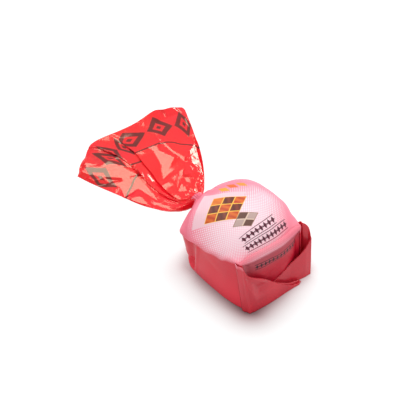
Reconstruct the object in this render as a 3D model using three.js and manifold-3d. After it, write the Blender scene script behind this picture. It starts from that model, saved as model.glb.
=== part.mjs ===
// A cream-filled chocolate praline, shut in its printed film wrapper.
//
// The wrapper is one closed body: a domed block with a flat base, a front end
// folded like an envelope (two crossed flaps over a set-back panel), the film
// gathered behind the block into a twisted neck, and the flat, pleated tail
// that fans out of the twist.
//
// Millimetres, +Z up, +Y from the folded end towards the tail, +X to the right
// when looking along +Y. The origin is the middle of the flat base.

import * as THREE from 'three';
import { mergeVertices } from 'three/addons/utils/BufferGeometryUtils.js';
import Module from 'manifold-3d';

// ---------------------------------------------------------------- dimensions
const BLOCK_HALF_W = 15.4; // widest half width of the wrapped block
const FRONT_Y = -13.8; // outer face of the left flap, at the base
const PANEL_SET_BACK = 2.2; // how far the front panel lies behind the left flap
const FRONT_LEAN = 2.9; // the front leans back this much over its height
const FRONT_H = 19.8; // height of the front's top edge
const CROWN_H = 27.4; // highest point of the dome
const NECK_X = -0.7; // middle of the twisted neck
const NECK_Y = 25.0;
const NECK_Z = 14.8;
const NECK_R = 2.3; // radius of the twisted neck
const NECK_RIDGES = 7; // film ridges round the neck
const NECK_TWIST = 1.5; // turns of the ridges, in radians per mm times ten
const TAIL_THICK = 1.3; // the two film layers of the tail with the air between
const TAIL_TILT = 0.15; // the tail's right side lies higher than its left
const TAIL_DROOP = 2.8; // how far the free edge hangs below the neck

// Stations along the block: y, half width, height of the base edge, height of
// the top's side edge, crown above that edge, squareness of the section.
const STATIONS = [
  [-11.6, 14.9, 0.0, 19.5, -0.9, 12.0],
  [-9.5, 15.0, 0.0, 19.8, 1.8, 11.0],
  [-5.2, 15.2, 0.0, 19.7, 5.0, 9.0],
  [0.9, BLOCK_HALF_W, 0.0, 19.8, 6.8, 7.5],
  [6.9, BLOCK_HALF_W, 0.0, 20.0, CROWN_H - 20.0, 6.5],
  [12.1, 15.3, 0.0, 20.0, 7.2, 6.0],
  [16.0, 14.9, 0.4, 19.7, 6.6, 5.2],
  [19.0, 13.4, 2.6, 18.8, 5.0, 4.4],
  [21.6, 9.8, 6.2, 18.1, 3.1, 3.2],
  [23.6, 4.8, 10.7, 17.6, 1.0, 2.2],
  [NECK_Y, NECK_R, NECK_Z - NECK_R, NECK_Z + NECK_R, 0.0, 2.0],
];
const BLOCK_STEPS = 26; // sections along the block
const TAIL_STEPS = 26; // sections along the tail
const ROUND = 64; // points round each section

// Tail outline: how the half widths grow from the neck, and the free edge's
// distance from the neck at seven places from the left edge to the right.
const TAIL_LEFT = { quick: 9.9, over: 5.2, slope: 0.19 };
const TAIL_RIGHT = { quick: 4.0, over: 4.3, slope: 0.6 };
const TAIL_EDGE = [39.0, 45.6, 47.4, 44.4, 42.0, 40.6, 37.2];

// Pleats of the tail: where each one lies across it (-1 left, 1 right), how
// high it stands, and how wide its steep side and its shallow side are.
const PLEATS = [
  { at: -0.72, high: 1.5, steep: 0.1, shallow: 0.26 },
  { at: -0.24, high: 2.2, steep: 0.07, shallow: 0.42 },
  { at: 0.3, high: 1.3, steep: 0.2, shallow: 0.3 },
  { at: 0.78, high: 1.1, steep: 0.14, shallow: 0.24 },
];

// Front flaps, in the front's own plane (x across, z up).
const FLAP_HALF_W = 14.7; // they end where the block's sides begin
const FLAP_TOP_LEFT = [-FLAP_HALF_W, 19.3];
const FLAP_CROSS = [-3.7, 7.6]; // where the two diagonal edges cross
const FLAP_TIP = [8.0, 0.8]; // the left flap's free corner
const FLAP_TOP_RIGHT = [FLAP_HALF_W, 16.0];
const FLAP_RIGHT_BOW = [5.8, 10.9]; // the right flap's edge hangs below straight
const FLAP_LAYER = 0.8; // the right flap lies this far under the left one

// ------------------------------------------------------------------- helpers
const clamp = (v, a, b) => Math.min(b, Math.max(a, v));
const smooth = (t) => {
  const c = clamp(t, 0, 1);
  return c * c * (3 - 2 * c);
};

// Smooth value through evenly spaced or given knots.
function through(xs, ys, x) {
  const n = xs.length;
  const i = clamp(xs.findIndex((v) => v > x) - 1 < 0 && x >= xs[n - 1] ? n - 2 : xs.findIndex((v) => v > x) - 1, 0, n - 2);
  const h = xs[i + 1] - xs[i];
  const t = clamp((x - xs[i]) / h, 0, 1);
  const d = (k) => (ys[k + 1] - ys[k]) / (xs[k + 1] - xs[k]);
  const slope = (k) => {
    if (k === 0) return d(0);
    if (k === n - 1) return d(n - 2);
    const a = d(k - 1);
    const b = d(k);
    return a * b <= 0 ? 0 : (2 * a * b) / (a + b);
  };
  const m0 = slope(i) * h;
  const m1 = slope(i + 1) * h;
  const t2 = t * t;
  const t3 = t2 * t;
  return (2 * t3 - 3 * t2 + 1) * ys[i] + (t3 - 2 * t2 + t) * m0 + (-2 * t3 + 3 * t2) * ys[i + 1] + (t3 - t2) * m1;
}

const column = (k) => STATIONS.map((s) => s[k]);
const station = (y) => {
  const ys = column(0);
  return [1, 2, 3, 4, 5].map((k) => through(ys, column(k), y));
};

// Points spread evenly along a path given as a function of 0..1.
function even(path, count) {
  const dense = [];
  for (let i = 0; i <= 300; i++) dense.push(path(i / 300));
  const run = [0];
  for (let i = 1; i < dense.length; i++) run.push(run[i - 1] + dense[i].distanceTo(dense[i - 1]));
  const total = run[run.length - 1];
  const out = [];
  let k = 0;
  for (let j = 0; j <= count; j++) {
    const want = (total * j) / count;
    while (k < run.length - 2 && run[k + 1] < want) k++;
    const f = (want - run[k]) / Math.max(run[k + 1] - run[k], 1e-9);
    out.push(dense[k].clone().lerp(dense[k + 1], clamp(f, 0, 1)));
  }
  return out;
}

// --------------------------------------------------------------------- block
// One section of the block: right side over the top to the left side, then
// back under the base. The top is crowned, the base is flat.
function blockSection(y0) {
  const [a, zb, zt, crown, n] = station(y0);
  const zc = (zb + zt) / 2;
  const hu = zt - zc;
  const hl = zc - zb + (zb < 0.01 ? 0.35 : 0);
  const pw = 2 / n;
  const at = (t) => {
    const c = Math.cos(t);
    const s = Math.sin(t);
    const x = a * Math.sign(c) * Math.abs(c) ** pw;
    const up = Math.abs(s) ** pw;
    let z = s >= 0 ? zc + hu * up : zc - hl * up;
    if (s > 0) z += crown * up ** 3 * (1 - Math.abs(x / a) ** 2.7) ** 0.85;
    z = Math.max(z, zb);
    const fade = 1 - smooth((y0 - FRONT_Y) / 14);
    const y = y0 + FRONT_LEAN * (z / FRONT_H) * fade;
    // ridges of the twist come in as the film gathers
    const gather = smooth((y0 - 18) / 6);
    const centre = NECK_X * smooth((y0 - 12) / (NECK_Y - 12));
    const swing = (NECK_TWIST / 10) * (y0 - NECK_Y);
    const r = 1 + 0.1 * gather * Math.cos(NECK_RIDGES * t + NECK_RIDGES * swing);
    return new THREE.Vector3(centre + x * r, y, NECK_Z + (z - NECK_Z) * (gather > 0 ? r : 1));
  };
  const half = ROUND / 2;
  const top = even((u) => at(Math.PI * u), half);
  const low = even((u) => at(Math.PI * (1 + u)), half);
  return [...top.slice(0, half), ...low.slice(0, half)];
}

// ---------------------------------------------------------------------- tail
const edgeAt = (f) => through([-1, -0.7, -0.35, 0.1, 0.45, 0.8, 1], TAIL_EDGE, f);
const grow = (w, d) => NECK_R + w.quick * (1 - Math.exp(-d / w.over)) + w.slope * d;

// Height of the pleats across the tail.
function pleats(f) {
  let z = 0;
  for (const p of PLEATS) {
    const d = f - p.at;
    const w = d < 0 ? p.steep : p.shallow;
    z += p.high * Math.exp(-((d / w) ** 2));
  }
  return z;
}

function tailSection(q) {
  const at = (f, side) => {
    const d = q * edgeAt(f);
    const left = grow(TAIL_LEFT, d);
    const right = grow(TAIL_RIGHT, d);
    const x = -left + ((f + 1) / 2) * (left + right);
    const open = smooth(q / 0.14);
    const thick = (1 - open) * NECK_R + open * (TAIL_THICK / 2);
    const round = (1 - open) * Math.sqrt(Math.max(0, 1 - f * f)) + open * (1 - f ** 6);
    const twist = 1 + 0.1 * (1 - open) * Math.cos(NECK_RIDGES * Math.acos(clamp(f, -1, 1)));
    const lift = 1.0 * smooth(q / 0.5) + pleats(f) * smooth((q - 0.02) / 0.6) * 0.9;
    const z = NECK_Z + TAIL_TILT * x * smooth(q / 0.3) - TAIL_DROOP * smooth(q) + lift;
    return new THREE.Vector3(NECK_X + x, NECK_Y + d, z + side * thick * round * twist);
  };
  const half = ROUND / 2;
  const spread = (i) => Math.cos((Math.PI * i) / half) * 0.35 + (1 - (2 * i) / half) * 0.65;
  const out = [];
  for (let i = 0; i < half; i++) out.push(at(spread(i), 1));
  for (let i = 0; i < half; i++) out.push(at(-spread(i), -1));
  return out;
}

// ------------------------------------------------------------- loft and folds
function loft(sections) {
  const n = ROUND;
  const pos = [];
  for (const s of sections) for (const p of s) pos.push(p.x, p.y, p.z);
  const idx = [];
  for (let i = 0; i < sections.length - 1; i++) {
    for (let j = 0; j < n; j++) {
      const a = i * n + j;
      const b = i * n + ((j + 1) % n);
      idx.push(a, b, a + n, b, b + n, a + n);
    }
  }
  // each end is closed by strips from the upper half to the lower half
  const cap = (base, flip) => {
    for (let j = 0; j < n / 2; j++) {
      const q = [j, j + 1, n - j - 1, (n - j) % n].map((k) => base + k);
      const tris = j === 0 ? [[q[0], q[2], q[1]]] : j === n / 2 - 1 ? [[q[0], q[3], q[1]]] : [[q[0], q[3], q[1]], [q[3], q[2], q[1]]];
      for (const t of tris) idx.push(...(flip ? [t[0], t[2], t[1]] : t));
    }
  };
  cap(0, false);
  cap((sections.length - 1) * n, true);
  const g = new THREE.BufferGeometry();
  g.setAttribute('position', new THREE.Float32BufferAttribute(pos, 3));
  g.setIndex(idx);
  return g;
}

// A folded flap: its outline in the front's plane, thickened inwards and
// leaned back with the front.
function flap(outline, outer, inner, bevel) {
  const shape = new THREE.Shape(outline.map(([x, z]) => new THREE.Vector2(x, z)));
  const g = new THREE.ExtrudeGeometry(shape, {
    depth: inner - outer - bevel,
    bevelEnabled: true,
    bevelThickness: bevel,
    bevelSize: bevel,
    bevelOffset: -bevel,
    bevelSegments: 2,
    curveSegments: 6,
  });
  const p = g.attributes.position;
  for (let i = 0; i < p.count; i++) {
    const x = p.getX(i);
    const z = Math.max(0, p.getY(i));
    const w = p.getZ(i); // -bevel .. depth + bevel, outer face first
    p.setXYZ(i, x, outer + bevel + w + FRONT_LEAN * (z / FRONT_H), z);
  }
  return g;
}

const wasm = await Module();
wasm.setup();

function solid(geometry) {
  const g = geometry.clone();
  for (const name of Object.keys(g.attributes)) if (name !== 'position') g.deleteAttribute(name);
  const m = mergeVertices(g, 1e-4);
  const idx = m.index.array;
  const pos = m.attributes.position;
  let volume = 0;
  const v = [new THREE.Vector3(), new THREE.Vector3(), new THREE.Vector3()];
  for (let i = 0; i < idx.length; i += 3) {
    for (let k = 0; k < 3; k++) v[k].fromBufferAttribute(pos, idx[i + k]);
    volume += v[0].dot(v[1].clone().cross(v[2])) / 6;
  }
  const tri = Uint32Array.from(idx);
  if (volume < 0) for (let i = 0; i < tri.length; i += 3) [tri[i + 1], tri[i + 2]] = [tri[i + 2], tri[i + 1]];
  return new wasm.Manifold(new wasm.Mesh({ numProp: 3, vertProperties: Float32Array.from(pos.array), triVerts: tri }));
}

function back(manifold) {
  const m = manifold.getMesh();
  const g = new THREE.BufferGeometry();
  const pos = new Float32Array((m.vertProperties.length / m.numProp) * 3);
  for (let i = 0; i < pos.length / 3; i++) for (let k = 0; k < 3; k++) pos[3 * i + k] = m.vertProperties[i * m.numProp + k];
  g.setAttribute('position', new THREE.BufferAttribute(pos, 3));
  g.setIndex(new THREE.BufferAttribute(Uint32Array.from(m.triVerts), 1));
  g.computeVertexNormals();
  return g;
}

// ------------------------------------------------------------------ the pack
const sections = [];
const first = STATIONS[0][0];
for (let i = 0; i < BLOCK_STEPS; i++) {
  const u = i / BLOCK_STEPS;
  sections.push(blockSection(first + (NECK_Y - first) * (u + 0.06 * Math.sin(2 * Math.PI * u))));
}
for (let i = 0; i <= TAIL_STEPS; i++) sections.push(tailSection((i / TAIL_STEPS) ** 1.35));
const body = solid(loft(sections));

const panelY = FRONT_Y + PANEL_SET_BACK + 1.0; // flaps reach into the block
const leftFlap = solid(flap([FLAP_TOP_LEFT, [-FLAP_HALF_W, 0], [7.5, 0], FLAP_TIP, FLAP_CROSS], FRONT_Y, panelY, 0.3));
const rightFlap = solid(
  flap([FLAP_TOP_RIGHT, FLAP_RIGHT_BOW, FLAP_CROSS, [-8.0, 4.3], [-8.0, 0], [FLAP_HALF_W, 0]], FRONT_Y + FLAP_LAYER, panelY, 0.25),
);

const pack = back(body.add(rightFlap).add(leftFlap));

const wrapped = new THREE.Mesh(
  pack,
  new THREE.MeshStandardMaterial({ color: 0xd8485a, roughness: 0.32, metalness: 0.0 }),
);
wrapped.name = 'wrapped_praline';

const praline = new THREE.Group();
praline.add(wrapped);

export default praline;
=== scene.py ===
"""A praline shut in its printed film: an envelope-folded block, a gathered neck and a flattened, pleated tail."""
import math

import bpy
import numpy as np
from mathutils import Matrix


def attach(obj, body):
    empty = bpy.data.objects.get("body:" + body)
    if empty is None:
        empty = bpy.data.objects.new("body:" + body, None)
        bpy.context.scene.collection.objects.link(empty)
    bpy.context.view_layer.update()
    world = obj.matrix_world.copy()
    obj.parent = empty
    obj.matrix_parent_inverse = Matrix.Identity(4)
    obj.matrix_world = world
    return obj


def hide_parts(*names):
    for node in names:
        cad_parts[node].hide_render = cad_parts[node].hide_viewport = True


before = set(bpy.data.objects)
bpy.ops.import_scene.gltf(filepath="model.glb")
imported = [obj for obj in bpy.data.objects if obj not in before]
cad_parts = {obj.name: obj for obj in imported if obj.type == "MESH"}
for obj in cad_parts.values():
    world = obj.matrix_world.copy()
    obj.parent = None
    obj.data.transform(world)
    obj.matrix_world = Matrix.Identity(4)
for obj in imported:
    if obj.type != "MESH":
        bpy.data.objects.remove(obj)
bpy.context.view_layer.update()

MM = 0.001

# ------------------------------------------------------------------ sizes, mm
PANEL_Y = -11.6        # the front panel behind the flaps
FRONT_LEAN = 2.9       # the front leans back this much over its height
FRONT_H = 19.8         # height of the front's top edge
NECK = np.array([-0.7, 25.0, 14.8])
NECK_R = 2.3
AROUND = 112.0         # the film's width round the block

NECK_SHAPE = np.array([  # y, half width, base edge, top's side edge, crown, squareness
    [12.0, 15.3, 0.0, 20.2, 7.0, 6.0],
    [16.0, 14.9, 0.4, 19.9, 6.4, 5.2],
    [19.0, 13.4, 2.6, 18.9, 4.9, 4.4],
    [21.6, 9.8, 6.2, 18.1, 3.0, 3.2],
    [23.6, 4.8, 10.7, 17.5, 1.0, 2.2],
    [25.0, 2.5, 12.4, 17.2, 0.0, 2.0],
    [26.4, 2.9, 12.1, 17.6, 0.0, 2.0],
])
BOX_Y = np.array([-11.6, -9.5, -6.0, -2.0, 2.0, 6.0, 10.0, 14.0, 17.0, 19.0, 22.0])
FOLD_LEFT = np.array([[-14.9, 19.7], [-15.4, 19.6], [-15.9, 19.2], [-16.6, 18.6], [-17.1, 18.2], [-17.5, 18.1],
                      [-18.0, 18.2], [-18.2, 18.4], [-17.6, 18.6], [-16.0, 18.8], [-11.0, 18.2]])
FOLD_RIGHT = np.array([[12.7, 19.3], [12.9, 19.4], [13.6, 19.7], [14.7, 19.9], [15.4, 20.1], [15.7, 20.2],
                       [15.7, 20.2], [15.3, 20.0], [14.6, 19.5], [13.0, 18.8], [9.0, 17.8]])
BASE_LEFT = np.array([[-14.3, 0.0], [-14.8, 0.0], [-15.4, 0.0], [-15.6, 0.0], [-15.4, 0.0], [-15.2, 0.0],
                      [-14.8, 0.0], [-14.2, 0.1], [-13.0, 1.0], [-11.2, 2.8], [-8.0, 6.5]])
BASE_RIGHT = np.array([[12.4, 0.0], [12.8, 0.0], [13.8, 0.0], [14.6, 0.0], [15.0, 0.0], [15.0, 0.0],
                       [14.8, 0.0], [14.3, 0.1], [13.2, 1.0], [11.4, 2.8], [8.0, 6.5]])
DOME = np.array([-0.9, 0.9, 3.8, 6.0, 7.0, 7.4, 7.4, 6.9, 6.0, 4.9, 3.0])

# the tail's outline: half widths left and right of the neck, and the free edge's distance from it
LEFT_D = [0, .5, 1, 2, 3, 5, 7, 10, 13, 16, 20, 24, 28, 32, 36, 40, 46]
LEFT_W = [2.3, 4.6, 6.6, 8.4, 9.6, 11.2, 12.3, 13.3, 14.2, 15.0, 15.7, 16.4, 17.1, 17.8, 18.5, 19.0, 19.8]
RIGHT_D = [0, 1, 2, 3, 4, 5, 7, 10, 13, 16, 20, 24, 28, 32, 36, 40, 46]
RIGHT_W = [2.3, 2.9, 4.1, 5.4, 6.4, 7.4, 9.3, 11.8, 14.1, 16.2, 18.8, 21.0, 23.4, 25.7, 27.9, 30.1, 33.3]
EDGE_AT = [-1, -.95, -.88, -.8, -.7, -.6, -.5, -.4, -.25, -.1, .1, .3, .5, .65, .8, .9, .97, 1]
EDGE_D = [41.2, 41.9, 43.5, 44.7, 45.9, 47.7, 48.6, 48.3, 47.2, 46.0, 45.0, 44.4, 43.9, 42.0, 41.0, 40.2, 39.2, 37.5]


# -------------------------------------------------------------------- helpers
def step(a, b, x):
    t = np.clip((np.asarray(x, float) - a) / (b - a), 0, 1)
    return t * t * (3 - 2 * t)


def mix(a, b, t):
    return a + (b - a) * t


def bump_at(x, middle, width):
    return np.exp(-((x - middle) / width) ** 2)


def through(xs, ys, x):
    """A smooth value through knots, with no overshoot between them."""
    xs, ys, x = np.asarray(xs, float), np.asarray(ys, float), np.asarray(x, float)
    h = np.diff(xs)
    d = np.diff(ys) / h
    m = np.empty(len(xs))
    m[0], m[-1] = d[0], d[-1]
    a, b = d[:-1], d[1:]
    m[1:-1] = np.where(a * b <= 0, 0, 2 * a * b / np.where(a + b == 0, 1, a + b))
    i = np.clip(np.searchsorted(xs, x, side="right") - 1, 0, len(xs) - 2)
    t = np.clip((x - xs[i]) / h[i], 0, 1)
    t2, t3 = t * t, t * t * t
    return ((2 * t3 - 3 * t2 + 1) * ys[i] + (t3 - 2 * t2 + t) * m[i] * h[i]
            + (-2 * t3 + 3 * t2) * ys[i + 1] + (t3 - t2) * m[i + 1] * h[i])


def chance(i, j, seed):
    n = np.sin(i * 127.1 + j * 311.7 + seed * 74.7) * 43758.5453
    return 2 * (n - np.floor(n)) - 1


def facets(x, y, size, seed, warp=0.35):
    """Flat triangular facets with straight creases between them, as crumpled film has: -1 to 1."""
    x, y = np.asarray(x, float) / size, np.asarray(y, float) / size
    x = x + warp * np.sin(1.9 * y + seed) + 0.5 * warp * np.sin(4.3 * y + 2.3 * x + seed)
    y = y + warp * np.sin(2.1 * x + 1.7 * seed) + 0.5 * warp * np.sin(3.7 * x - 2.9 * y + seed)
    s = (x + y) * 0.3660254
    i, j = np.floor(x + s), np.floor(y + s)
    u, v = x + s - i, y + s - j
    c0, c3 = chance(i, j, seed), chance(i + 1, j + 1, seed)
    c1, c2 = chance(i + 1, j, seed), chance(i, j + 1, seed)
    return np.where(u > v, c0 * (1 - u) + c1 * (u - v) + c3 * v, c0 * (1 - v) + c2 * (v - u) + c3 * u)


def wave(x):
    """A triangle wave, -1 to 1, period 1."""
    return 4 * np.abs((x - np.floor(x)) - 0.5) - 1


def soft(x, y, size, seed):
    """Smooth irregular swells, about -1 to 1."""
    x, y = np.asarray(x, float) / size, np.asarray(y, float) / size
    return 0.5 * (np.sin(2.1 * x + 0.7 * y + seed) * np.cos(1.3 * y - 0.6 * x + 1.9 * seed)
                  + np.sin(1.1 * x - 2.3 * y + 2.7 * seed) * np.cos(0.9 * x + 1.7 * y + seed))


# ------------------------------------------------------------------------ tail
def tail_z(x, d):
    q = np.clip(d / 45, 0, 1)
    return NECK[2] + 0.11 * x * step(0, 0.3, q) - 2.8 * step(0, 1, q) + 1.0 * step(0, .5, q)


def tail_at(q, phi, h):
    """A point over the tail's middle surface: q from the neck to the free edge, phi -1 left to 1 right, h above."""
    c = np.clip(phi, -1, 1)
    d = q * through(EDGE_AT, EDGE_D, c)
    left, right = through(LEFT_D, LEFT_W, d), through(RIGHT_D, RIGHT_W, d)
    x = -left + (phi + 1) / 2 * (left + right)
    return np.stack([NECK[0] + x, NECK[1] + d, tail_z(x, d) + h], -1)


NODES = np.array([0, .03, .06, .10, .15, .20, .222, .242, .285, .325, .347, .37, .405, .45, .48, .50])
QS = np.array([0, .12, .22, .30, .40, .50, .60, .70, .79, .87, .94, 1.0])
PHI_A = through([0, .16, .22, .30, .38, .48, .59, .71, .87, .95, 1], [-.10, -.33, -.30, -.27, -.25, -.22, -.20, -.17, -.19, -.19, -.19], QS)
PHI_B = through([0, .17, .29, .43, .53, .59, .66, .71, .79, .85, 1], [-.30, -.46, -.46, -.45, -.41, -.40, -.39, -.41, -.43, -.46, -.53], QS)
PHI_C = through([0, .23, .29, .41, .49, .55, .63, .71, .79, .89, 1], [-.45, -.57, -.55, -.52, -.51, -.50, -.50, -.51, -.55, -.62, -.70], QS)
TUCK_A = np.array([0, .02, .08, .12, .14, .15, .14, .12, .10, .06, -.01, -.03])
TUCK_B = np.array([0, .03, .10, .15, .17, .18, .17, .14, .11, .06, -.01, -.04])


def row(*values):
    return np.array(values, float)


TOP_PHI = np.stack([
    row(*[1.0] * 12), row(*[.90] * 12), row(*[.75] * 12), row(*[.48] * 12), row(*[.16] * 12),
    PHI_A, PHI_A + TUCK_A, PHI_A + TUCK_A * 0.25 - .02, (PHI_A + PHI_B) / 2,
    PHI_B, PHI_B + TUCK_B, PHI_B + TUCK_B * 0.1 - .03, PHI_C,
    row(*[-.78] * 12), row(*[-.93] * 12), row(*[-1.0] * 12),
])
TOP_H = np.stack([
    row(0, 0, 0, 0, 0, 0, 0, 0, 0, 0, 0, 0),
    row(.8, .8, .8, .8, .8, .8, .6, .45, .4, .4, .45, .5),
    row(1.5, 1.5, 1.6, 1.6, 1.7, 1.6, 1.3, 1.1, 1.1, 1.2, 1.5, 1.8),
    row(1.9, 2.0, 2.3, 2.5, 2.6, 2.6, 2.4, 2.2, 2.1, 2.1, 2.3, 2.5),
    row(2.1, 2.0, 2.1, 2.3, 2.4, 2.4, 2.3, 2.1, 1.9, 1.8, 1.8, 1.8),
    row(2.0, 1.9, 1.9, 1.9, 1.9, 1.9, 1.9, 1.9, 1.9, 1.9, 1.9, 2.0),
    row(1.9, 1.75, 1.68, 1.65, 1.65, 1.65, 1.65, 1.65, 1.7, 1.75, 1.9, 2.0),
    row(1.8, 1.6, 1.5, 1.45, 1.45, 1.45, 1.45, 1.45, 1.5, 1.65, 1.85, 2.0),
    row(1.6, 1.45, 1.3, 1.25, 1.25, 1.25, 1.25, 1.3, 1.35, 1.5, 1.75, 1.95),
    row(1.5, 1.3, 1.15, 1.1, 1.1, 1.1, 1.1, 1.15, 1.2, 1.3, 1.5, 1.6),
    row(1.4, 1.15, 1.0, .92, .9, .9, .9, .9, .95, 1.05, 1.25, 1.4),
    row(1.3, 1.0, .85, .75, .72, .72, .72, .72, .72, .8, 1.0, 1.2),
    row(1.2, 1.1, 1.1, 1.1, 1.2, 1.3, 1.3, 1.3, 1.2, 1.1, .9, .7),
    row(.9, .9, .9, .9, .9, .9, .9, .9, .9, .9, .9, .9),
    row(.5, .5, .4, .35, .3, .3, .3, .3, .3, .3, .35, .4),
    row(0, 0, 0, 0, 0, 0, 0, 0, 0, 0, 0, 0),
])
LOW_NODES = np.array([.5, .53, .58, .64, .70, .76, .82, .88, .94, .98, 1.0])
LOW_PHI = np.array([-1, -.93, -.75, -.5, -.25, .02, .28, .52, .78, .94, 1.0])
LOW_H = np.array([0, -.5, -.9, -.4, -1.1, -.6, -1.2, -.6, -1.1, -.5, 0])

OPEN_ROWS = [15, 14, 13, 12, 11, 8, 5, 4, 3, 2, 1, 0]


def open_height(q, phi):
    """Height of the tail's top as if the two pleats were pressed out."""
    at = np.array([through(QS, TOP_PHI[k], q) for k in OPEN_ROWS])
    h = np.array([through(QS, TOP_H[k], q) for k in OPEN_ROWS])
    return through(at, h, np.clip(phi, -1, 1))


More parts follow.
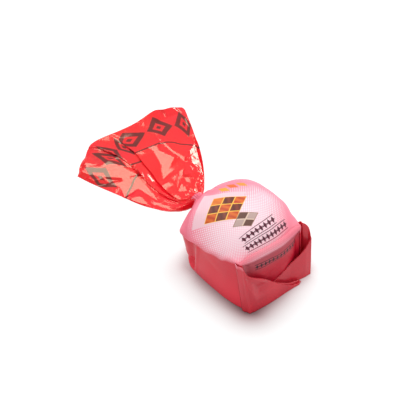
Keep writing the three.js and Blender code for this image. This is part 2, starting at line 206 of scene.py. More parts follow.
# creased facets of the tail: x, y, z of their corners in mm; and the creases that join them
FACETS = np.array([
    (6.07, 55.14, 16.620), (5.87, 52.50, 16.538), (7.07, 45.43, 16.872), (1.57, 42.75, 15.518),
    (-1.86, 41.37, 14.707), (1.62, 46.14, 15.437), (4.26, 52.66, 16.106), (11.37, 61.58, 16.760),
    (11.36, 59.57, 16.879), (10.06, 55.68, 16.719), (9.99, 53.18, 16.797), (9.41, 48.92, 16.734),
    (9.58, 46.49, 16.829), (9.79, 43.16, 16.810), (8.26, 41.29, 16.399), (8.37, 43.76, 16.433),
    (8.35, 46.82, 16.507), (8.75, 50.61, 16.518), (8.89, 53.66, 16.488), (9.77, 57.56, 16.561),
    (-0.71, 57.05, 15.800), (4.12, 56.63, 16.322), (-1.24, 52.78, 15.600), (4.00, 39.28, 16.103),
    (6.95, 39.64, 16.768), (2.79, 36.81, 15.938), (1.09, 35.68, 15.625), (-2.82, 32.75, 14.977),
    (-0.97, 35.08, 15.190), (4.39, 35.05, 16.031), (5.20, 33.84, 16.258), (4.19, 32.31, 15.979),
    (3.39, 33.07, 15.775), (3.74, 31.83, 15.908), (3.86, 29.45, 15.957), (1.35, 27.25, 15.357),
    (2.24, 30.02, 15.519), (0.40, 34.23, 15.662), (0.08, 32.74, 15.628), (-1.53, 31.71, 15.250),
    (13.46, 44.73, 16.639), (18.62, 47.14, 15.706), (17.33, 43.89, 15.315), (13.25, 37.86, 15.304),
    (9.30, 32.81, 15.285), (5.82, 29.12, 15.332), (6.86, 31.46, 15.660), (10.02, 36.64, 15.983),
    (9.66, 39.51, 16.713), (25.89, 65.42, 16.804), (26.53, 64.87, 16.920), (26.16, 61.50, 16.515),
    (25.53, 62.56, 16.438), (24.20, 58.91, 16.526), (24.81, 58.82, 16.686), (22.27, 53.68, 16.009),
    (22.89, 56.04, 16.175), (6.44, 43.56, 16.216), (7.70, 41.39, 16.456), (4.01, 38.59, 16.123),
    (1.75, 38.72, 15.718), (8.02, 40.23, 16.716), (7.08, 35.61, 16.441), (4.94, 35.86, 16.712),
    (-15.92, 66.29, 12.801), (-12.42, 62.36, 13.599), (-9.29, 62.03, 14.440), (-8.21, 56.82, 14.637),
    (-6.71, 49.02, 14.890), (-9.18, 50.83, 14.252), (-11.35, 52.24, 13.700), (-15.10, 58.23, 12.769),
    (-16.35, 61.75, 12.507), (-15.29, 54.55, 12.518), (-11.91, 51.60, 13.491), (-9.84, 50.06, 14.073),
    (-7.35, 48.29, 14.731), (-7.92, 44.06, 14.540), (-9.98, 34.95, 14.127), (-10.27, 38.61, 13.992),
    (-10.61, 44.15, 13.811), (-15.90, 45.57, 12.384), (-13.96, 49.97, 12.940), (-16.05, 42.88, 13.421),
    (-14.23, 42.14, 13.888), (-12.84, 40.64, 14.237), (-13.45, 35.50, 14.021), (-15.09, 39.28, 13.611),
    (-5.33, 51.06, 15.241), (-4.79, 49.27, 15.309), (-6.58, 45.48, 14.946), (-6.54, 47.53, 15.247),
    (-5.32, 61.17, 14.940), (-5.05, 57.49, 15.123), (-5.68, 53.25, 15.090), (-6.03, 54.40, 14.953),
    (-5.80, 58.62, 14.883), (6.66, 70.30, 15.649), (10.87, 69.69, 15.939), (15.47, 68.41, 16.816),
    (20.93, 66.96, 17.001), (-4.45, 73.28, 14.349), (0.84, 71.75, 15.242), (-8.69, 70.90, 13.704),
    (-12.35, 69.58, 13.299), (-18.39, 65.83, 12.512), (-18.32, 59.38, 12.538), (-18.10, 54.71, 11.897),
    (-17.11, 49.46, 12.460), (-16.32, 44.54, 13.138), (-14.90, 38.56, 13.508), (-13.47, 33.62, 13.984),
    (-12.16, 30.41, 14.291), (-8.87, 27.19, 15.063), (-2.54, 47.72, 15.375), (-4.91, 43.18, 14.623),
    (-5.90, 37.37, 14.508), (-2.39, 36.55, 15.035), (1.74, 52.03, 15.842), (6.19, 57.97, 16.325),
    (3.75, 59.67, 15.908), (0.93, 61.93, 15.368), (2.13, 66.85, 15.079), (5.96, 65.20, 15.623),
    (10.36, 65.19, 16.073), (16.19, 64.25, 15.959), (16.14, 58.72, 16.502), (20.18, 61.20, 16.463),
    (16.53, 54.76, 16.343), (18.04, 51.56, 16.029), (19.54, 49.32, 15.958), (20.19, 63.69, 16.244),
    (13.52, 53.90, 16.547), (13.80, 49.40, 16.265), (14.79, 51.43, 16.285), (11.64, 42.32, 16.600),
    (8.07, 37.11, 16.257), (6.59, 33.25, 16.017), (3.04, 28.13, 15.807), (1.52, 31.99, 15.699),
    (-1.56, 29.61, 15.466), (-5.20, 31.18, 15.046), (-7.94, 33.25, 14.642), (-8.14, 39.56, 14.401),
    (-5.73, 46.05, 15.075), (-4.44, 53.29, 15.282), (-2.76, 60.16, 15.234), (-3.73, 65.07, 14.431),
    (-6.66, 65.67, 14.070), (-8.80, 68.21, 13.758), (-15.00, 68.40, 13.065), (-15.48, 50.39, 12.773),
    (0.89, 40.12, 15.495), (-0.58, 37.58, 15.356), (-2.10, 38.74, 15.169), (-1.33, 44.31, 15.021),
    (1.40, 48.75, 15.636), (5.03, 38.04, 16.766), (4.00, 41.64, 15.925), (8.13, 39.04, 16.721),
    (0.07, 27.94, 15.498), (0.65, 30.15, 15.374), (-11.47, 39.59, 14.160), (-11.34, 35.07, 14.194),
    (-6.83, 46.73, 14.698), (-8.05, 41.07, 14.446), (-8.83, 36.92, 14.120), (-6.55, 50.90, 14.877),
    (-6.81, 54.99, 14.819), (-3.69, 34.20, 15.018), (-4.19, 39.25, 14.791), (-16.50, 68.72, 11.986),
    (-19.12, 66.07, 11.386), (-18.60, 61.55, 12.503), (6.59, 56.47, 16.524), (6.65, 53.85, 16.847),
    (8.11, 45.18, 17.048), (1.23, 41.69, 15.397), (-2.97, 40.02, 14.861), (0.75, 45.28, 15.253),
    (4.43, 53.85, 16.213), (11.83, 63.19, 16.288), (12.12, 61.43, 16.543), (10.35, 54.52, 16.726),
    (9.93, 42.10, 17.425), (8.22, 42.60, 16.433), (7.59, 50.16, 16.449), (8.60, 54.70, 17.153),
    (9.84, 58.83, 16.647), (3.56, 36.82, 16.692), (0.32, 34.78, 15.844), (-3.94, 31.79, 15.106),
    (-2.04, 34.46, 15.167), (14.13, 46.26, 16.275), (17.78, 44.47, 16.332), (12.50, 36.79, 16.103),
    (8.79, 32.21, 15.294), (5.25, 28.54, 14.941), (5.96, 30.24, 15.743), (8.99, 35.71, 16.295),
    (9.45, 40.65, 16.749), (-15.96, 67.82, 11.980), (-12.54, 63.59, 13.432), (-8.34, 63.60, 13.989),
    (-7.39, 56.46, 14.794), (-8.93, 49.70, 14.430), (-16.10, 58.28, 12.640), (-17.12, 62.31, 12.371),
    (-15.78, 55.44, 11.880), (-11.95, 52.84, 12.839), (-6.29, 48.95, 12.660), (-6.95, 43.81, 14.588),
    (-9.89, 33.82, 14.395), (-15.99, 42.55, 13.412), (-14.04, 43.44, 13.735), (-11.61, 41.33, 14.030),
    (-15.19, 39.01, 13.392), (-5.01, 62.73, 14.575), (-4.06, 58.51, 15.186), (-5.47, 52.33, 14.707),
    (-6.09, 53.36, 14.874), (-5.92, 59.83, 14.760), (5.10, 39.42, 16.349), (3.24, 38.63, 15.921),
])
CREASES = [
    (0, 1), (1, 2), (2, 3), (3, 4), (4, 5), (5, 6), (6, 0), (7, 8), (8, 9), (9, 10), (10, 11), (12, 11), (13, 12),
    (13, 14), (14, 15), (15, 16), (16, 17), (18, 17), (18, 19), (19, 7), (20, 22), (21, 20), (21, 22), (24, 25),
    (25, 26), (26, 27), (28, 27), (29, 32), (30, 29), (30, 31), (31, 32), (33, 36), (34, 33), (34, 35), (36, 35),
    (37, 38), (38, 39), (39, 37), (40, 41), (41, 42), (42, 43), (43, 44), (44, 45), (46, 45), (46, 47), (47, 48),
    (48, 40), (49, 52), (50, 49), (50, 51), (51, 52), (53, 56), (54, 53), (54, 55), (56, 55), (58, 57), (58, 222),
    (59, 223), (60, 57), (61, 62), (62, 63), (63, 61), (64, 65), (64, 72), (66, 65), (67, 66), (67, 68), (69, 68),
    (69, 70), (70, 71), (71, 72), (73, 74), (75, 74), (75, 76), (76, 77), (77, 78), (79, 78), (79, 80), (80, 81),
    (82, 73), (82, 81), (84, 83), (85, 84), (85, 86), (86, 87), (87, 83), (89, 88), (89, 90), (91, 88), (91, 90),
    (92, 93), (92, 96), (93, 94), (94, 95), (95, 96), (222, 23), (222, 24), (222, 59), (223, 23), (223, 28),
    (223, 60),
]


def tail_rim():
    """Points along the tail's outline, where its facets end."""
    qs = np.linspace(0, 1, 41)
    ends = [tail_at(q, np.array([-1.0, 1.0]), 0.0) for q in qs]
    across, few = np.linspace(-1, 1, 41)[1:-1], np.array([-.5, 0, .5])
    cut = tail_at(1.0, across, open_height(1.0, across))
    start = tail_at(0.0, few, open_height(0.0, few))
    return np.concatenate(ends + [cut, start])


def sculpt(points, creases):
    """A grid of heights that turns the tail's smooth top into flat facets between the points."""
    from mathutils import Vector
    from mathutils.geometry import delaunay_2d_cdt
    pts = np.concatenate([points, tail_rim()])
    out = delaunay_2d_cdt([Vector(p[:2]) for p in pts], creases, [], 0, 1e-5)
    where = np.array([[v.x, v.y] for v in out[0]])
    height = np.array([pts[o[0]][2] if o else np.nan for o in out[3]])
    for k in np.where(np.isnan(height))[0]:
        near = np.argsort(((where[k] - pts[:, :2]) ** 2).sum(1))[:3]
        height[k] = pts[near, 2].mean()
    total = np.zeros((len(SCULPT_Q), len(SCULPT_PHI)))
    base = np.stack([tail_at(q, SCULPT_PHI, open_height(q, SCULPT_PHI)) for q in SCULPT_Q])
    x, y = base[..., 0], base[..., 1]
    for tri in out[2]:
        a, b, c = (where[k] for k in tri)
        det = (b[1] - c[1]) * (a[0] - c[0]) + (c[0] - b[0]) * (a[1] - c[1])
        if abs(det) < 1e-9:
            continue
        box = ((x >= min(a[0], b[0], c[0]) - 1e-6) & (x <= max(a[0], b[0], c[0]) + 1e-6)
               & (y >= min(a[1], b[1], c[1]) - 1e-6) & (y <= max(a[1], b[1], c[1]) + 1e-6))
        px, py = x[box], y[box]
        l0 = ((b[1] - c[1]) * (px - c[0]) + (c[0] - b[0]) * (py - c[1])) / det
        l1 = ((c[1] - a[1]) * (px - c[0]) + (a[0] - c[0]) * (py - c[1])) / det
        l2 = 1 - l0 - l1
        inside = (l0 >= -1e-9) & (l1 >= -1e-9) & (l2 >= -1e-9)
        value = l0 * height[tri[0]] + l1 * height[tri[1]] + l2 * height[tri[2]] - base[..., 2][box]
        total[box] = np.where(inside, value, total[box])
    keep = np.clip((1 - np.abs(SCULPT_PHI)) / 0.012, 0, 1)[None, :] * np.clip((1 - SCULPT_Q) / 0.006, 0, 1)[:, None]
    return total * keep


def tail_section(q, u):
    """phi and height round the tail's section at q, before crumpling."""
    phi = np.empty_like(u)
    h = np.empty_like(u)
    top = u <= 0.5
    node_phi = np.array([through(QS, TOP_PHI[k], q) for k in range(len(NODES))])
    node_h = np.array([through(QS, TOP_H[k], q) for k in range(len(NODES))])
    phi[top] = through(NODES, node_phi, u[top])
    h[top] = through(NODES, node_h, u[top])
    flat = 1 - step(.197, .203, u) + step(.367, .373, u)
    h[top] = mix(h[top], open_height(q, phi[top]), flat[top])
    low = ~top
    phi[low] = through(LOW_NODES, LOW_PHI, u[low])
    swell = mix(1.0, 0.55, step(.75, 1, q))
    h[low] = through(LOW_NODES, LOW_H * swell, u[low]) * (1 + 0.25 * np.sin(7 * q + 9 * u[low]))
    return phi, h


def crumple(q, phi, x, y, top):
    """Height that creases add; the same over every layer of a fold."""
    near = 1 - step(.12, .55, q)
    rim = 1 - step(.8, 1, q)
    inner = np.clip(1 - np.abs(phi) ** 4, 0, 1)
    both = 0.05 * facets(x, y, 8.5, 3.1) * (0.4 + 0.6 * inner)
    both = both + 0.035 * facets(x, y, 3.6, 5.7) * (0.25 + 0.75 * near)
    right = step(.50, .80, phi + 0.25 * (0.5 - q)) * (1 - step(.50, .66, q))
    both = both + right * (0.08 * facets(x, y, 2.1, 8.3) + 0.05 * facets(x, y, 1.05, 2.9))
    own = np.where(top, 0.06 * facets(x * 1.3, y * 0.7, 5.2, 11.3), 0.30 * facets(x * 1.2, y * 0.7, 6.0, 17.9)) * inner
    return both * (0.55 + 0.45 * rim) + own * (0.5 + 0.5 * rim)


def tail_ring(q, u):
    phi, h = tail_section(q, u)
    turn = 2 * np.pi * u
    round_ = 1 - step(0.0, 0.10, q)
    phi = mix(phi, np.cos(turn), round_)
    h = mix(h, NECK_R * np.sin(turn) * (1 - 0.15 * round_), round_)
    top = u <= 0.5
    # pleats that run out of the neck
    fan = 0.42 * step(0, .03, q) * (1 - step(.12, .34, q)) + 0.06 * step(0, .03, q) * (1 - step(.3, .6, q))
    pleat = wave(11 * u + 0.35 * np.sin(2 * np.pi * 3 * u) + 0.2 * np.sin(9 * q)) * 0.5 + wave(23 * u + 0.4 * np.sin(5 * np.pi * u + 3)) * 0.25
    inner = np.clip(1 - np.abs(phi) ** 4, 0, 1)
    h = h + fan * pleat * (0.25 + 0.75 * inner) * np.where(top, 1, -1)
    P = tail_at(q, phi, h)
    lift = crumple(q, phi, P[:, 0], P[:, 1], top) * step(0.02, .16, q)
    P[:, 2] += lift + sculpt_row(q, phi)
    return P, phi


SCULPT_Q = np.linspace(0, 1, 201)
SCULPT_PHI = np.linspace(-1, 1, 321)
SCULPT = sculpt(FACETS, CREASES)


def sculpt_row(q, phi):
    k = np.clip(q * 200, 0, 199.999)
    i = int(k)
    line = mix(SCULPT[i], SCULPT[i + 1], k - i)
    return np.interp(phi, SCULPT_PHI, line) * step(0.0, .08, q)


# ------------------------------------------------------------------- mesh maker
def make_mesh(name, verts, faces, uv=None):
    """verts in mm; faces as tuples; uv as one (u, v) for each face corner, in mm."""
    mesh = bpy.data.meshes.new(name)
    mesh.from_pydata((np.asarray(verts) * MM).tolist(), [], faces)
    if uv is not None:
        layer = mesh.uv_layers.new(name="film")
        layer.data.foreach_set("uv", (np.asarray(uv, np.float32) / 100).ravel())
    mesh.update()
    mesh.validate(clean_customdata=False)
    mesh.polygons.foreach_set("use_smooth", [True] * len(mesh.polygons))
    obj = bpy.data.objects.new(name, mesh)
    bpy.context.scene.collection.objects.link(obj)
    return obj


class Shell:
    """Rings of n points joined into one closed surface, with a film coordinate for each corner."""

    def __init__(self, n):
        self.n, self.v, self.f, self.t, self.rings = n, [], [], [], 0

    def ring(self, P, u, v):
        """u has n + 1 values, so that the last column joins the first without a jump; v has n + 1 values."""
        self.v.append(np.asarray(P, float))
        k, n = self.rings, self.n
        self.rings += 1
        self.now = (np.asarray(u, float), np.broadcast_to(np.asarray(v, float), (n + 1,)))
        if k:
            a, b = (k - 1) * n, k * n
            pu, pv = self.before
            cu, cv = self.now
            for i in range(n):
                j = (i + 1) % n
                self.f.append((a + i, a + j, b + j, b + i))
                self.t += [(pu[i], pv[i]), (pu[i + 1], pv[i + 1]), (cu[i + 1], cv[i + 1]), (cu[i], cv[i])]
        self.before = self.now

    def cap(self, centre, first, centre_uv=False):
        verts = np.concatenate(self.v)
        c = len(verts)
        self.v.append(np.asarray([centre], float))
        base = 0 if first else (self.rings - 1) * self.n
        u, v = self.first if first else self.now
        for i in range(self.n):
            j = (i + 1) % self.n
            tri = (base + j, base + i, c) if first else (base + i, base + j, c)
            w = [(u[i + 1], v[i + 1]), (u[i], v[i])] if first else [(u[i], v[i]), (u[i + 1], v[i + 1])]
            self.f.append(tri)
            self.t += w + [(u.mean(), v.mean())] if centre_uv else w + [((u[i] + u[i + 1]) / 2, v[i])]

    def mark_first(self):
        self.first = self.now


def outward(obj):
    """Turns the faces outward if the closed mesh is inside out."""
    mesh = obj.data
    co = np.empty(len(mesh.vertices) * 3)
    mesh.vertices.foreach_get("co", co)
    co = co.reshape(-1, 3)
    mesh.calc_loop_triangles()
    tri = np.empty(len(mesh.loop_triangles) * 3, int)
    mesh.loop_triangles.foreach_get("vertices", tri)
    a, b, c = co[tri.reshape(-1, 3)].transpose(1, 0, 2)
    if np.einsum("ij,ij->i", a, np.cross(b, c)).sum() < 0:
        mesh.flip_normals()
    return obj


# -------------------------------------------------------------------- tail mesh
def build_tail():
    n = 460
    u = np.arange(n) / n
    full = np.append(u, 1.0)
    shell = Shell(n)
    film_u = full * AROUND
    # the rolled start, tucked inside the neck's collar
    for d, r in ((-1.6, 1.2), (-1.3, 1.7), (-.7, 2.05), (-.2, 2.2)):
        a = 2 * np.pi * u
        P = np.stack([NECK[0] + r * np.cos(a), np.full(n, NECK[1] + d), NECK[2] + r * np.sin(a)], 1)
        P[:, 2] += 0.12 * wave(11 * u) * np.sin(a)
        shell.ring(P, film_u, 45.0 - d)
        if d == -1.6:
            shell.mark_first()
    qs = np.concatenate([np.linspace(0.004, .12, 20)[:-1], np.linspace(.12, .5, 62)[:-1], np.linspace(.5, .94, 60)[:-1], np.linspace(.94, 1, 14)])
    line_at = through([0, .06, .13, .20, .222, .242, .285, .325, .347, .37, .405, .45, .5, .6, .8, 1.0],
                      [.50, .56, .66, .70, .69, .61, .60, .60, .59, .50, .49, .48, .475, .49, .52, .50], full)
    for q in qs:
        P, phi = tail_ring(q, u)
        v = 15.5 * (1 - q) / (1 - line_at)
        shell.ring(P, film_u, v)
    # round the cut edge, then back inside the mouth
    rim_phi = phi * 0.986
    top = u <= 0.5
    for q in (1.0, .985, .96, .93, .90, .87, .84, .81, .785, .77):
        outer, op = tail_ring(q, u)
        line_phi = rim_phi
        up = envelope(op[top], outer[top], line_phi, lowest=True)
        down = envelope(op[~top], outer[~top], line_phi, lowest=False)
        middle = (up + down) / 2
        close = 1 - step(.77, .90, q)
        high = np.maximum(up - 0.15, middle + 0.03)
        low = np.minimum(down + 0.15, middle - 0.03)
        high = mix(high, middle + 0.02, close)
        low = mix(low, middle - 0.02, close)
        P = tail_at(min(q, .9985), line_phi, 0)
        P[:, 2] = np.where(top, high, low)
        v = 15.5 * (1 - q) / (1 - line_at)
        shell.ring(P, film_u, v)
    # shut the last ring: each upper point joins the lower point below it
    base = (shell.rings - 1) * n
    half = n // 2
    last = shell.v[-1]
    # a strip of quads and triangles between the two rows, walked from right to left
    i, j = 0, n
    while i < half or j > half:
        xi = last[min(i + 1, half), 0] if i < half else -1e9
        xj = last[(j - 1) % n, 0] if j > half else -1e9
        if j <= half or (i < half and xi >= xj):
            tri = (base + i, base + i + 1, base + j % n)
            corner = (i, i + 1, j)
            i += 1
        else:
            tri = (base + i, base + (j - 1) % n, base + j % n)
            corner = (i, j - 1, j)
            j -= 1
        if len(set(tri)) == 3:
            shell.f.append(tri)
            cu, cv = shell.now
            shell.t += [(cu[min(k, n)], cv[min(k, n)]) for k in corner]
    shell.cap([NECK[0], NECK[1] - 1.7, NECK[2]], True)
    obj = make_mesh("wrapper_tail", np.concatenate(shell.v), shell.f, shell.t)
    return outward(obj)


def envelope(phi, P, want, lowest):
    """Lowest or highest z over the ring's points at the wanted phi, where the film may lie in folds."""
    turns = np.sign(np.diff(phi))
    cuts = [0] + [k + 1 for k in range(len(turns) - 1) if turns[k] != turns[k + 1] and turns[k + 1] != 0] + [len(phi) - 1]
    best = np.full(len(want), 1e9 if lowest else -1e9)
    for a, b in zip(cuts[:-1], cuts[1:]):
        p, z = phi[a:b + 1], P[a:b + 1, 2]
        if len(p) < 2:
            continue
        if p[0] > p[-1]:
            p, z = p[::-1], z[::-1]
        inside = (want >= p[0] - 1e-9) & (want <= p[-1] + 1e-9)
        value = np.interp(want, p, z)
        best = np.where(inside, (np.minimum if lowest else np.maximum)(best, value), best)
    found = np.abs(best) < 1e8
    if not found.all():
        order = np.argsort(want[found])
        best = np.where(found, best, np.interp(want, want[found][order], best[found][order]))
    return best


# ------------------------------------------------------------------------ block
def even(P, count):
    run = np.concatenate([[0], np.cumsum(np.linalg.norm(np.diff(P, axis=0), axis=1))])
    want = np.linspace(0, run[-1], count + 1)
    return np.stack([np.interp(want, run, P[:, k]) for k in range(P.shape[1])], 1)


# columns of the block's skin, in shares of the way round: right fold, left fold, left base edge, right base edge
W_RIGHT, W_LEFT, W_BASE_L, W_BASE_R = 0.085, 0.435, 0.610, 0.885


def round_section(y0, n, dense=700):
    """The outline near the neck, n points (x, z): right side, over the top, left side, under the base."""
    a, zb, zt, crown, sq = [float(through(NECK_SHAPE[:, 0], NECK_SHAPE[:, k], y0)) for k in range(1, 6)]
    zc = (zb + zt) / 2
    hu = zt - zc
    hl = zc - zb + (0.35 if zb < 0.01 else 0.0)

    def at(t):
        c, s = np.cos(t), np.sin(t)
        x = a * np.sign(c) * np.abs(c) ** (2 / sq)
        rise = np.abs(s) ** (2 / sq)
        z = np.where(s >= 0, zc + hu * rise, zc - hl * rise)
        z = z + np.where(s > 0, crown * rise ** 3 * np.clip(1 - np.abs(x / a) ** 3.0, 0, 1) ** 0.85, 0)
        return np.stack([x, np.maximum(z, zb)], 1)

    t = np.linspace(0, 1, dense)
    top = even(at(np.pi * t), n // 2)[:-1]
    low = even(at(np.pi * (1 + t)), n // 2)[:-1]
    return np.concatenate([top, low])


def blur(P, sigma):
    """A soft average along a closed line, sigma in samples."""
    n = len(P)
    f = np.fft.rfftfreq(n)
    k = np.exp(-2 * (np.pi * f * sigma) ** 2)
    return np.fft.irfft(np.fft.rfft(P, axis=0) * k[:, None], n, axis=0)


def boxed_section(y0, n):
    """The outline over the praline: two long folds, a domed top, straight sides and a flat base."""
    fl = [float(through(BOX_Y, FOLD_LEFT[:, k], y0)) for k in (0, 1)]
    fr = [float(through(BOX_Y, FOLD_RIGHT[:, k], y0)) for k in (0, 1)]
    bl = [float(through(BOX_Y, BASE_LEFT[:, k], y0)) for k in (0, 1)]
    br = [float(through(BOX_Y, BASE_RIGHT[:, k], y0)) for k in (0, 1)]
    crown = float(through(BOX_Y, DOME, y0))
    fine = 6
    counts = np.round(np.array([1 + W_RIGHT - W_BASE_R, W_LEFT - W_RIGHT, W_BASE_L - W_LEFT, W_BASE_R - W_BASE_L]) * n).astype(int) * fine
    t = np.linspace(0, 1, 800)
    side_r = np.stack([mix(br[0], fr[0], t) + 0.3 * np.sin(np.pi * t), mix(br[1], fr[1], t)], 1)
    s = 1 - 2 * t
    bow = np.clip(1 - np.abs(s) ** np.where(s > 0, 3.4, 2.5), 0, 1) ** 0.85
    top = np.stack([mix(fr[0], fl[0], t), mix(fr[1], fl[1], t) + crown * bow], 1)
    side_l = np.stack([mix(fl[0], bl[0], t) + 0.35 * np.sin(np.pi * t) * (1 - t), mix(fl[1], bl[1], t)], 1)
    base = np.stack([mix(bl[0], br[0], t), mix(bl[1], br[1], t)], 1)
    loop = np.concatenate([even(p, c)[:-1] for p, c in zip((side_r, top, side_l, base), counts)])
    soft_loop, crisp = blur(loop, 34), blur(loop, 13)
    w = (W_BASE_R + np.arange(len(loop)) / len(loop)) % 1.0
    keen = np.clip(bump_at(w, W_LEFT, .03) + bump_at(w, W_BASE_L, .03) + bump_at(w, W_BASE_R, .03), 0, 1)[:, None]
    loop = mix(soft_loop, crisp, keen)
    loop = np.roll(loop, -int(round((1 - W_BASE_R) * n)) * fine, axis=0)
    out = loop[::fine]
    out[:, 1] = np.maximum(out[:, 1], min(bl[1], br[1]) * 1.0)
    return out


def section(y0, n):
    t = float(step(15.0, 21.0, y0))
    if t <= 0:
        return boxed_section(y0, n)
    round_ = round_section(y0, n)
    if t >= 1:
        return round_
    return mix(boxed_section(y0, n), round_, t)


BLOCK_N = 480
SECTION_Y = np.concatenate([np.linspace(-11.6, 16, 70)[:-1], np.linspace(16, 26.4, 60)])
SECTION_XZ = np.stack([section(y, BLOCK_N) for y in SECTION_Y])


def lean_at(x, z, y0):
    fade = 1 - step(PANEL_Y, PANEL_Y + 13, y0)
    amount = FRONT_LEAN * (0.10 + 0.90 * np.clip(np.abs(x - 1.2) / 15, 0, 1) ** 1.5)
    return amount * z / FRONT_H * fade


def block_points(y0):
    """Points of the block's skin at y0, one for each of the n columns; y0 may differ from column to column."""
    n = BLOCK_N
    y0 = np.broadcast_to(np.asarray(y0, float), (n,))
    k = np.clip(np.searchsorted(SECTION_Y, y0, side="right") - 1, 0, len(SECTION_Y) - 2)
    t = (y0 - SECTION_Y[k]) / (SECTION_Y[k + 1] - SECTION_Y[k])
    col = np.arange(n)
    xz = mix(SECTION_XZ[k, col], SECTION_XZ[k + 1, col], t[:, None])
    w = col / n
    x, z = xz[:, 0].copy(), xz[:, 1].copy()
    y = y0 + lean_at(x, z, y0)
    x = np.where(x < 0, x * (1 - 0.17 * bump_at(y0, 21.4, 2.4)), x)
    x = x + NECK[0] * step(12, 25, y0)

    # behind a slanting crease, the left side is tucked in under the printed panel's free fold
    past = y0 - (12.2 - 4.0 * z / 18)
    band = step(W_LEFT, W_LEFT + .02, w) * (1 - step(.585, .61, w)) * (1 - step(20.5, 23.5, y0))
    tuck = band * step(0.0, 1.5, past) * (1 - 0.75 * step(3.0, 6.5, past))
    x = x + 2.3 * tuck
    x = x - 0.25 * band * bump_at(past, -0.5, 0.7)
    # the same on the right
    ws = np.where(w > .5, w - 1, w)
    band_r = (1 - step(W_RIGHT - .02, W_RIGHT, ws)) * step(-.115, -.09, ws) * (1 - step(20.5, 23.5, y0))
    past_r = y0 - (12.8 - 4.0 * z / 18)
    x = x - 1.8 * band_r * step(0.0, 1.5, past_r) * (1 - 0.75 * step(3.0, 6.5, past_r))
    # the panel's fold wavers a little along its length
    z = z + 0.35 * bump_at(w, W_LEFT, .02) * np.sin(0.9 * y0 + 0.6) * step(-8, -2, y0) * (1 - step(15, 18, y0))
    z = z + 0.25 * bump_at(w, W_RIGHT, .02) * np.sin(0.8 * y0 + 2.0) * (1 - step(15, 18, y0))

    # pleats that run into the neck
    P = np.stack([x, y, z], 1)
    centre = np.stack([np.full(n, NECK[0]), y, np.full(n, NECK[2])], 1)
    out = P - centre
    out /= np.maximum(np.linalg.norm(out, axis=1), 1e-6)[:, None]
    gather = step(15.5, 22, y0) * (1 - 0.35 * step(24, 26, y0))
    pleat = 0.55 * wave(17 * w + 0.35 * np.sin(2 * np.pi * 3 * w)) + 0.3 * wave(31 * w + 0.3 * np.sin(2 * np.pi * 5 * w + 1))
    P = P + out * (0.42 * gather * pleat)[:, None]
    # film that lies on the praline with faint flats and swells
    under = (z > 0.8)
    skin = (0.10 * facets(AROUND * w, y0, 9.0, 4.4) + 0.12 * soft(AROUND * w, y0, 6.0, 1.3)) * step(.4, 2.5, z)
    top_mask = step(.10, .14, w) * (1 - step(.40, .44, w))
    skin = skin * (1 - 0.5 * top_mask * (1 - step(12, 18, y0))) * step(0, .035, np.minimum(w, 1 - w))
    across = y0 + 1.6 - (23.4 + 0.45 * np.minimum((0.25 - w) * AROUND, 2.0))
    skin = skin + 0.55 * top_mask * step(-3.2, 0.0, across) * (1 - step(0.0, .5, across)) * (1 - step(19, 22, y0))
    P = P + out * (skin * under)[:, None]
    return P, w


def front_y(x, z):
    """The front panel behind the flaps: it bulges forward at its middle and lies deeper at the right."""
    base = PANEL_Y + lean_at(x, z, PANEL_Y)
    deep = 1.6 * step(6.5, 11.5, x) * step(5, 9, z) * (1 - 0.5 * step(16, 19, z)) + 0.7 * bump_at(x, -12.5, 2.8) * bump_at(z, 15, 3.5)
    belly = -0.5 * bump_at(x, -1.0, 9.0) * bump_at(z, 15.0, 5.0)
    folds = 0.16 * facets(x, z, 5.0, 6.6) + 0.10 * soft(x, z, 2.4, 3.3)
    return base + deep + belly + folds * step(0, 2, z) * step(0, 1.5, 15 - np.abs(x))


